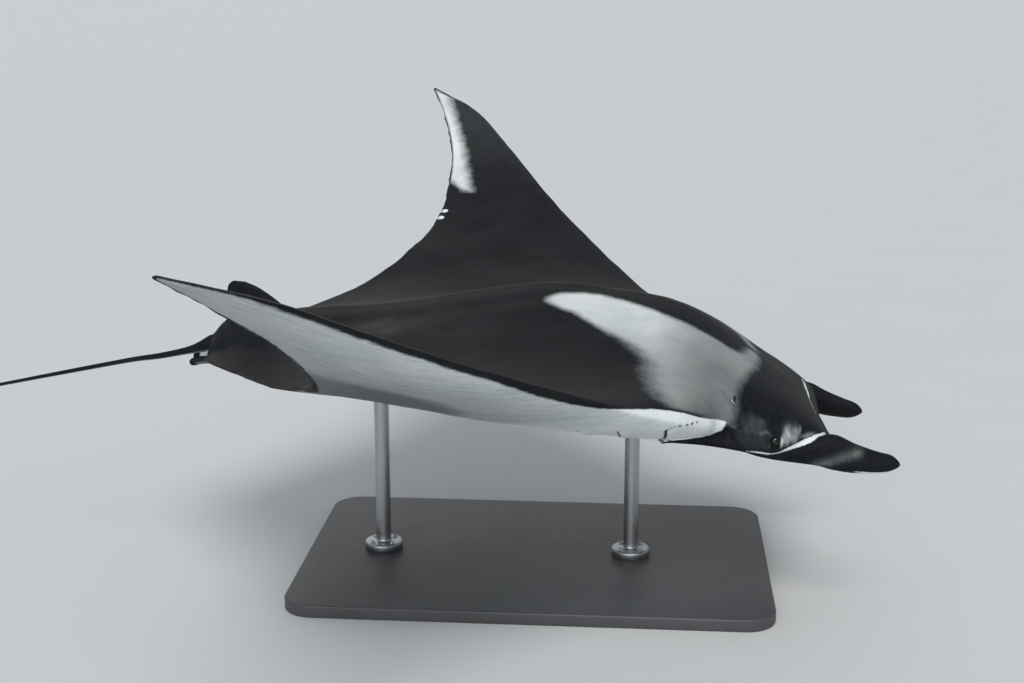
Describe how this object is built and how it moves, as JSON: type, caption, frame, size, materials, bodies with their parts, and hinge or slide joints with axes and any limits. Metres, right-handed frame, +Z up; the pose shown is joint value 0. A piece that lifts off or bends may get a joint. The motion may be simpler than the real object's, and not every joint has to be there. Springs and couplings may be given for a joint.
{
  "type": "manta ray",
  "caption": "Life-size giant manta ray gliding with raised wings and rolled head fins, held over a flat base by upright rods, for still display.",
  "frame": {"origin": "centre of the underside of the stand's base, on the floor", "axes": "+X is forward, the way the ray swims; +Y is the ray's left; +Z is up"},
  "size_m": [3.4095, 4.1164, 1.3736],
  "materials": {
    "skin": "smooth wet skin, near black above and white below",
    "eye": "gloss, dark iris",
    "stand_base": "satin powder coat",
    "stand_rod": "brushed"
  },
  "bodies": {
    "root": {"head": "skin", "cephalic_fin_left": "skin", "cephalic_fin_right": "skin", "trunk_front": "skin", "trunk_rear": "skin", "pectoral_fin_left_inner": "skin", "pectoral_fin_left_middle": "skin", "pectoral_fin_left_tip": "skin", "pectoral_fin_right_inner": "skin", "pectoral_fin_right_middle": "skin", "pectoral_fin_right_tip": "skin", "tail_base": "skin", "tail_middle": "skin", "tail_tip": "skin", "dorsal_fin": "skin", "clasper_left": "skin", "clasper_right": "skin", "pelvic_fin_left": "skin", "pelvic_fin_right": "skin", "eye_left": "eye", "eye_right": "eye", "stand_base": "stand_base", "stand_rod_front": "stand_rod", "stand_rod_rear": "stand_rod"}
  },
  "joints": []
}
